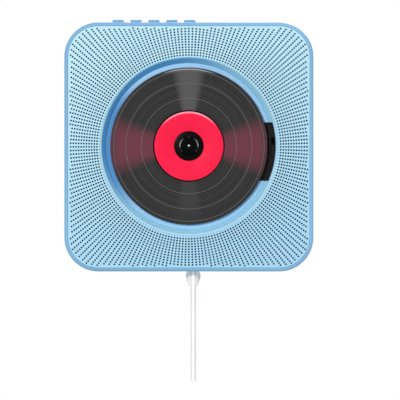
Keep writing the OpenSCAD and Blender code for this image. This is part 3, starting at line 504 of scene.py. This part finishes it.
def speaker_paper():
    """Pressed paper pulp of a speaker cone."""
    finish = Finish("speaker_paper", (0.02, 0.02, 0.021), 0.85)
    pulp = finish.noise(0.8 * MM, 5)
    finish.tint(pulp, 0.7, 1.7)
    finish.bump(pulp, 0.6, 0.08 * MM)
    return finish.material


def ferrite():
    finish = Finish("ferrite", (0.09, 0.09, 0.095), 0.55)
    grit = finish.noise(0.6 * MM, 4)
    finish.tint(grit, 0.75, 1.3)
    finish.bump(grit, 0.3, 0.04 * MM)
    return finish.material


def circuit_board():
    """Green solder mask over copper tracks."""
    finish = Finish("circuit_board", (0.015, 0.13, 0.04), 0.3, IOR=1.5)
    tracks = finish.add("ShaderNodeTexBrick", {"offset": 0.35},
                        {"Vector": finish.add("ShaderNodeMapping", None,
                                              {"Vector": finish.place(), "Rotation": (math.pi / 2, 0, 0)}),
                         "Scale": 210, "Mortar Size": 0.035, "Mortar Smooth": 0.2}, output="Fac")
    finish.tint(tracks, 0.9, 1.9)
    finish.bump(tracks, 0.3, 0.04 * MM)
    return finish.material


def lens_glass():
    finish = Finish("lens_glass", (0.25, 0.42, 0.7), 0.06, IOR=1.5, Transmission_Weight=0.4)
    coat = finish.noise(3 * MM, 1)
    finish.tint(coat, 0.85, 1.2)
    return finish.material


def nylon():
    finish = Finish("nylon", (0.72, 0.7, 0.62), 0.45)
    clouds = finish.noise(2 * MM, 3)
    finish.tint(clouds, 0.92, 1.05)
    finish.bump(clouds, 0.1, 0.03 * MM)
    return finish.material


def white_plastic():
    """Soft white moulding of the grommet and the stem, with a faint white emission that paints light into
    it.
    """
    # Painted light: a faint white emission, though it is no lamp.
    finish = Finish("white_plastic", (0.94, 0.93, 0.91), 0.35, IOR=1.47, Emission_Color=(1, 1, 1, 1),
                    Emission_Strength=0.1)
    clouds = finish.noise(1.5 * MM, 3)
    finish.tint(clouds, 0.96, 1.03)
    finish.bump(clouds, 0.1, 0.02 * MM)
    return finish.material


def cord_flank_shade(finish, inner, outer):
    """1 on the cord's four flanks, which look grey from the front and the side, 0 between them: where the
    finishes paint shade on the cord.
    """
    x, y, _ = finish.split(finish.place())
    across, deep = (x - cord_x).maths("ABSOLUTE"), (y - cord_y).maths("ABSOLUTE")
    return finish.band(across.maths("MINIMUM", deep), inner * cord_r, outer * cord_r)


def bell_plastic():
    """The grommet: clear white plastic, greyer at its top, with the cord's flanks showing through. All of
    this is painted: emission paints light into it, dimmest a few millimetres below the body as painted shade
    and white further down, and the cord is painted on as a white strip with grey painted shade on its
    flanks.
    """
    finish = Finish("bell_plastic", (0.9, 0.89, 0.87), 0.5, IOR=1.47, Specular_IOR_Level=0.2,
                    Emission_Strength=0.3)
    down = 0 - half - finish.split(finish.place())[2]
    fade = finish.band(down, 4 * MM, 10 * MM)
    # Painted shade: the cord's grey flanks drawn on the bell as if seen through it.
    flank = cord_flank_shade(finish, 0.42, 0.66)
    line = flank - cord_flank_shade(finish, 0.95, 1.15)
    finish.feed("Base Color", finish.mix(line, (0.84, 0.82, 0.8, 1), (0.7, 0.69, 0.68, 1)))
    # Painted light by emission: warm at the very top, dim grey a few millimetres down as painted shade,
    # white lower down.
    painted_light_veil = finish.mix(finish.band(down, 0, 5 * MM), (1, 0.85, 0.76, 1), (0.2, 0.19, 0.18, 1))
    painted_light_veil = finish.mix(fade, painted_light_veil, (1, 1, 1, 1))
    shown = finish.mix(flank, (1, 1, 1, 1), painted_light_veil)
    finish.feed("Emission Color", finish.mix(line * 0.6, shown, (0.3, 0.29, 0.28, 1)))
    return finish.material


def woven_cord():
    """White polyester braid: crossing strands along the cord, with grey painted shade on its flanks and a
    faint white emission that paints light into it.
    """
    # Painted light: a faint white emission, though the cord is no lamp.
    finish = Finish("woven_cord", (0.9, 0.9, 0.9), 0.8, Specular_IOR_Level=0.2, Emission_Color=(1, 1, 1, 1),
                    Emission_Strength=0.08)
    x, y, z = finish.split(finish.place())
    around = (x - cord_x).maths("ARCTAN2", y - cord_y) * 8
    along = z / (0.16 * MM)
    strands = (around + along).maths("SINE") * (around - along).maths("SINE") * 0.5 + 0.5
    braid = finish.mix(strands, (0.9, 0.9, 0.9, 1), (0.96, 0.96, 0.96, 1))
    # Painted shade: grey on the cord's four flanks.
    finish.feed("Base Color", finish.mix(cord_flank_shade(finish, 0.38, 0.58), braid, (0.74, 0.74, 0.73, 1)))
    finish.bump(strands, 0.15, 0.03 * MM)
    return finish.material


finishes = {
    "blue_frame": frame_plastic(),
    "blue_panel": panel_plastic(),
    "blue_buttons": button_plastic(),
    "black_plastic": moulded("black_plastic", (0.008, 0.008, 0.009), 0.4, shine=0.1),
    "black_felt": rubber(),
    "turntable_black": chuck_black(),
    "disc_black": record_black(),
    "label_red": label_print(),
    "dark_rubber": rubber(),
    "steel": metal("zinc_steel", (0.62, 0.63, 0.66), 0.3),
    "bright_steel": metal("ground_steel", (0.82, 0.82, 0.84), 0.16),
    "galvanised": galvanised(),
    "motor_can": metal("motor_can", (0.66, 0.67, 0.69), 0.32),
    "magnet_grey": ferrite(),
    "basket_black": moulded("basket_lacquer", (0.02, 0.02, 0.022), 0.3, 0.6 * MM),
    "cone_black": speaker_paper(),
    "sled_blue_black": moulded("sled_plastic", (0.03, 0.045, 0.06), 0.5),
    "lens_glass": lens_glass(),
    "white_nylon": nylon(),
    "brass_pinion": metal("brass", (0.75, 0.52, 0.22), 0.28),
    "board_green": circuit_board(),
    "chip_black": moulded("chip_black", (0.015, 0.015, 0.017), 0.5, 0.2 * MM),
    "switch_grey": moulded("switch_grey", (0.45, 0.45, 0.43), 0.5),
    "white_plastic": white_plastic(),
    "cord_white": woven_cord(),
}
slot_of = {part["node"]: part["material_slot"] for part in frame["record"]["subparts"]}
own_finish = {
    "disc_well": finishes["blue_panel"],
    "spindle_shaft": tip_steel(),
    "deck_chassis": moulded("chassis_lacquer", (0.012, 0.012, 0.013), 0.45, shine=0.2),
}


# Shapes

def link(name, mesh, body, slot, finish=None, sharp=35):
    """Puts a mesh in the scene as a piece that rides on a body."""
    mesh.shade_smooth()
    mesh.set_sharp_from_angle(angle=math.radians(sharp))
    piece = bpy.data.objects.new(name, mesh)
    bpy.context.scene.collection.objects.link(piece)
    mesh.materials.append(finish or finishes[slot])
    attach(piece, body)
    return piece


def mesh_from(name, points, faces):
    mesh = bpy.data.meshes.new(name)
    mesh.from_pydata(points, [], faces)
    mesh.validate()
    tidy = bmesh.new()
    tidy.from_mesh(mesh)
    bmesh.ops.remove_doubles(tidy, verts=tidy.verts, dist=1e-7)
    bmesh.ops.recalc_face_normals(tidy, faces=tidy.faces)
    tidy.to_mesh(mesh)
    tidy.free()
    return mesh


def turned(name, outline, centre, steps, axis="Y"):
    """Turns a closed outline of (radius, place along the axis) round an axis through centre."""
    points, faces = [], []
    for k in range(steps):
        c, s = math.cos(TURN * k / steps), math.sin(TURN * k / steps)
        for r, along in outline:
            if axis == "Y":
                points.append((centre[0] + r * c, along, centre[1] + r * s))
            else:
                points.append((centre[0] + r * c, centre[1] + r * s, along))
    n = len(outline)
    for k in range(steps):
        a, b = k * n, (k + 1) % steps * n
        for i in range(n):
            j = (i + 1) % n
            faces.append((a + i, a + j, b + j, b + i))
    return mesh_from(name, points, faces)


def arc(cx, cy, r, start, end, steps=6):
    """Points on an arc, angles in degrees."""
    turns = [math.radians(start + (end - start) * i / steps) for i in range(steps + 1)]
    return [(cx + r * math.cos(t), cy + r * math.sin(t)) for t in turns]


def circle(x, z, r, sides):
    """Points of a whole circle, each once."""
    return arc(x, z, r, 0, 360 - 360 / sides, sides - 1)


def rounded_outline(w, h, r, steps):
    """Points of a rounded rectangle round the origin."""
    points = []
    for k, (sx, sy) in enumerate([(1, 1), (-1, 1), (-1, -1), (1, -1)]):
        points += arc(sx * (w / 2 - r), sy * (h / 2 - r), r, 90 * k, 90 * k + 90, steps)
    return points


def stacked(name, loops):
    """Skins loops of equally many points, one after the other, and closes both ends."""
    n = len(loops[0])
    points = [p for loop in loops for p in loop]
    faces = []
    for level in range(len(loops) - 1):
        for i in range(n):
            a, b = level * n + i, level * n + (i + 1) % n
            faces.append((a, b, b + n, a + n))
    faces.append(tuple(reversed(range(n))))
    faces.append(tuple(range(len(points) - n, len(points))))
    return mesh_from(name, points, faces)


# Front panel

def hole_fits(x, z):
    """Is this hole clear of the panel's edge?"""
    straight = panel_w / 2 - panel_corner
    r = panel_corner - plain_band - hole_r
    u, v = abs(x) - straight, abs(z) - straight
    return u <= r and v <= r and (u <= 0 or v <= 0 or math.hypot(u, v) <= r)


def hole_centres():
    """The holes lie on lines through the body's centre, in rings up to the panel's corners."""
    rings = int((panel_w / math.sqrt(2) - first_ring) / hole_pitch)
    for ring in range(rings):
        r = first_ring + ring * hole_pitch
        for line in range(hole_lines):
            a = TURN * line / hole_lines
            x, z = r * math.cos(a), r * math.sin(a)
            if hole_fits(x, z):
                yield x, z


def lip_drop(x, z):
    """How far the panel's skin has rolled down into the well at this place."""
    inward = well_lip - math.hypot(x - disc_x, z - disc_z)
    return 0 if inward <= 0 else lip_r - math.sqrt(lip_r * lip_r - inward * inward)


def pierced_sheet(name, loops, y_front, y_back, drop=lambda x, z: 0):
    """A sheet inside the first loop, open inside each later one.

    Of loops that lie one within another only the innermost is open, and the others bend the sheet.
    A triangle with all its corners on one of the later loops would close it, so it is left out.
    """
    flat, edges, owner = [], [], []
    for number, loop in enumerate(loops):
        start = len(flat)
        flat += [Vector(p) for p in loop]
        owner += [number] * len(loop)
        edges += [(start + i, start + (i + 1) % len(loop)) for i in range(len(loop))]
    where, _, triangles, came_from, _, _ = delaunay_2d_cdt(flat, edges, [], 1, 1e-9)
    loop_of = [owner[ids[0]] for ids in came_from]
    kept = [t for t in triangles if len({loop_of[i] for i in t}) > 1 or loop_of[t[0]] == 0]
    n = len(where)
    points = [(p.x, y + drop(p.x, p.y), p.y) for y in (y_front, y_back) for p in where]
    faces = [tuple(t) for t in kept] + [tuple(i + n for i in reversed(t)) for t in kept]
    used = {}
    for t in kept:
        for i in range(3):
            edge = frozenset((t[i], t[(i + 1) % 3]))
            used[edge] = None if edge in used else (t[i], t[(i + 1) % 3])
    faces += [(a, a + n, b + n, b) for a, b in (pair for pair in used.values() if pair)]
    return mesh_from(name, points, faces)


def make_panel():
    """The perforated panel, with every hole cut through and its edge rolled into the well."""
    loops = [rounded_outline(panel_w, panel_w, panel_corner, 16)]
    loops += [circle(disc_x, disc_z, well_lip - inward * MM, 160) for inward in (1.9, 1.6, 1.2, 0.8, 0.4, 0)]
    loops += [circle(x, z, hole_r, 10) for x, z in hole_centres()]
    mesh = pierced_sheet("perforated_panel", loops, panel_front, panel_back, lip_drop)
    panel = link("perforated_panel", mesh, "housing", "blue_panel", sharp=50)
    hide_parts("grille_panel")


def make_cloth():
    """The black dust cloth on the panel's back, which shows through the holes."""
    wider = 0.25 * MM
    wide = panel_w + 2 * wider
    loops = [rounded_outline(wide, wide, panel_corner + wider, 16),
             circle(disc_x, disc_z, well_lip + 0.1 * MM, 160)]
    mesh = pierced_sheet("dust_cloth", loops, panel_back - 0.1 * MM, panel_back - 0.05 * MM)
    link("dust_cloth", mesh, "housing", "black_felt", finish=dust_cloth())


# Disc

def make_disc():
    """The disc: a rounded edge, fine ridges, a lead-in bead, track gaps and a sunk ring round the label."""
    face = disc_face
    ridge = 0.03 * MM
    chamfer = 0.1 * MM
    sunk = 0.15 * MM
    outline = [(disc_hole, disc_back), (disc_hole, face + chamfer), (disc_hole + chamfer, face),
               (label_in - 0.5 * MM, face), (label_in - 0.3 * MM, face + chamfer),
               (label_in, face + chamfer), (label_in + chamfer, face),
               (label_out, face), (label_out + sunk, face + sunk),
               (label_out + 0.9 * MM, face + sunk), (label_out + 1.1 * MM, face + ridge)]
    r = label_out + 1.3 * MM
    while r < groove_end:
        in_gap = min(abs(r - at) for at in track_gaps) <= 0.5 * MM
        outline += [(r, face + ridge if in_gap else face), (r + groove_pitch / 2, face + ridge)]
        r += groove_pitch
    outline += [(groove_end + 0.3 * MM, face + ridge), (lead_in, face), (lead_in + 0.3 * MM, face),
                (groove_end + MM, face + 2 * ridge)]
    edge_r = 0.5 * MM
    outline += [(x, 2 * face - y) for x, y in arc(disc_r - edge_r, face - edge_r - 2 * ridge, edge_r, 90, 0)]
    outline += [(disc_r, disc_back - chamfer), (disc_r - 2 * chamfer, disc_back)]
    disc = link("record_disc", turned("record_disc", outline, (disc_x, disc_z), 192), "disc", "disc_black")
    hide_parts("disc")


def make_label():
    """The label's print: a crisp inner edge and an outer edge that falls off softly."""
    edge = 0.12 * MM
    outline = [(label_in, disc_face), (label_in, label_face + edge / 2), (label_in + edge, label_face),
               (label_out - 0.9 * MM, label_face), (label_out - 0.5 * MM, label_face + 0.02 * MM),
               (label_out - 0.15 * MM, label_face + 0.08 * MM), (label_out, disc_face)]
    label = link("disc_print", turned("disc_print", outline, (disc_x, disc_z), 160), "disc", "label_red")
    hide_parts("disc_label")


# Buttons

def make_buttons():
    """Push buttons: a crowned cap with soft edges, a flange inside the body and a stem on the switch."""
    stem_r = 1.6 * MM
    flange_rim, flange_t, flange_corner = 2.4 * MM, 1.4 * MM, 1.8 * MM
    frame_wall, press_gap = 2.4 * MM, 0.3 * MM
    cap_corner = 1.5 * MM
    # Each level of the crown in millimetres: less width, corner radius, depth below the top
    crown = [(0, 1.5, 0.6), (0, 1.5, 0.5), (0.12, 1.45, 0.3), (0.4, 1.3, 0.12), (0.9, 1.1, 0.03),
             (1.6, 0.8, 0)]
    for k in range(1, 6):
        low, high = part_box(f"button_{k}")
        x, y = (low.x + high.x) / 2, (low.y + high.y) / 2
        flange_w, flange_h = high.x - low.x, high.y - low.y
        cap_w, cap_h = flange_w - flange_rim, flange_h - flange_rim
        flange_low = half - frame_wall - press_gap - flange_t
        flange_top = flange_low + flange_t
        stem = (2 * stem_r, 2 * stem_r, stem_r * 0.999)
        flange = (flange_w, flange_h, flange_corner)
        cap = (cap_w, cap_h, cap_corner)
        levels = [(*stem, low.z), (*stem, flange_low), (*flange, flange_low), (*flange, flange_top),
                  (*cap, flange_top)]
        levels += [(cap_w - cut * MM, cap_h - cut * MM, corner * MM, high.z - below * MM)
                   for cut, corner, below in crown]
        loops = [[(x + u, y + v, z) for u, v in rounded_outline(w, h, r, 5)] for w, h, r, z in levels]
        name = f"push_button_{k}"
        button = link(name, stacked(name, loops), f"button_{k}", "blue_buttons", sharp=28)
        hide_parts(f"button_{k}")


# Pull cord

def make_grommet():
    """The white bell that guides the cord."""
    low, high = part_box("cord_grommet")
    body_foot = -half
    bore = cord_r + 0.3 * MM
    wide = 5.65 * MM
    length = body_foot - low.z
    flange_r, neck_r, foot_r = 5.6 * MM, 4.2 * MM, 4.6 * MM
    flange_low = high.z - 1.35 * MM
    bell_top = body_foot - 0.05 * MM
    outline = [(bore, high.z), (flange_r, high.z), (flange_r, flange_low), (neck_r, flange_low),
               (neck_r, bell_top), (foot_r, bell_top)]
    # The bell's outline, as shares of its radius and length
    bell = [(0.88, 0.06), (0.96, 0.16), (1.0, 0.27), (0.99, 0.38), (0.94, 0.5), (0.85, 0.63), (0.74, 0.76),
            (0.64, 0.88), (0.57, 0.97), (0.54, 1.0)]
    outline += [(wide * r, body_foot - length * d) for r, d in bell]
    outline += [(bore, low.z)]
    grommet = link("bell_grommet", turned("bell_grommet", outline, (cord_x, cord_y), 64, "Z"), "housing",
                   "white_plastic", bell_plastic(), sharp=50)
    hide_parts("cord_grommet")


def make_cord():
    """The pull cord hangs straight from its seam in the bell and ends bare."""
    sides = 40
    step = 0.4 * MM
    top, foot = -cord_down[0] * MM, -cord_down[-1] * MM
    relief = 0.015 * MM
    count = int((top - foot) / step)
    loops = []
    for i in range(count + 1):
        z = top + (foot - top) * i / count
        loop = []
        for k in range(sides):
            a = TURN * k / sides
            strands = math.sin(8 * a + z / (0.32 * MM)) * math.sin(8 * a - z / (0.32 * MM))
            r = cord_r + relief * (strands - 1) / 2
            loop.append((cord_x + r * math.cos(a), cord_y + r * math.sin(a), z))
        loops.append(loop)
    cord = link("white_cord", stacked("white_cord", loops), "pull", "cord_white", sharp=60)
    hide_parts("pull_cord")


# USB port

def make_tongue():
    """The contact tongue of the USB port."""
    wide, thick, corner = 9.6 * MM, 1.8 * MM, 0.3 * MM
    low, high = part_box("usb_port")
    y, z = (low.y + high.y) / 2 - thick / 2, (low.z + high.z) / 2
    loops = [[(x, y + v, z + u) for u, v in rounded_outline(wide, thick, corner, 2)]
             for x in (low.x + 0.5 * MM, high.x - 1.2 * MM)]
    link("usb_tongue", stacked("usb_tongue", loops), "housing", "black_plastic")


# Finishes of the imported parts

def dress_nodes():
    """Every node that stays gets its slot's finish, smooth on its round faces."""
    for name, node in frame["nodes"].items():
        node.data.materials.clear()
        node.data.materials.append(own_finish.get(name, finishes[slot_of[name]]))
        node.data.shade_smooth()
        node.data.set_sharp_from_angle(angle=math.radians(30))


make_camera()
make_cord()
make_world(0.46, 0.3)
make_lamp("key", (-0.66, front - 1.9, 0.45), 0.4, 25)
make_lamp("side", (1.4, front - 1.3, 0.5), 0.7, 6)
make_lamp("rear", (0.4, 1.6, 0.9), 1.0, 24)
dress_nodes()
make_panel()
make_cloth()
make_disc()
make_label()
make_buttons()
make_grommet()
make_tongue()
bpy.context.scene.view_settings.view_transform = "Standard"
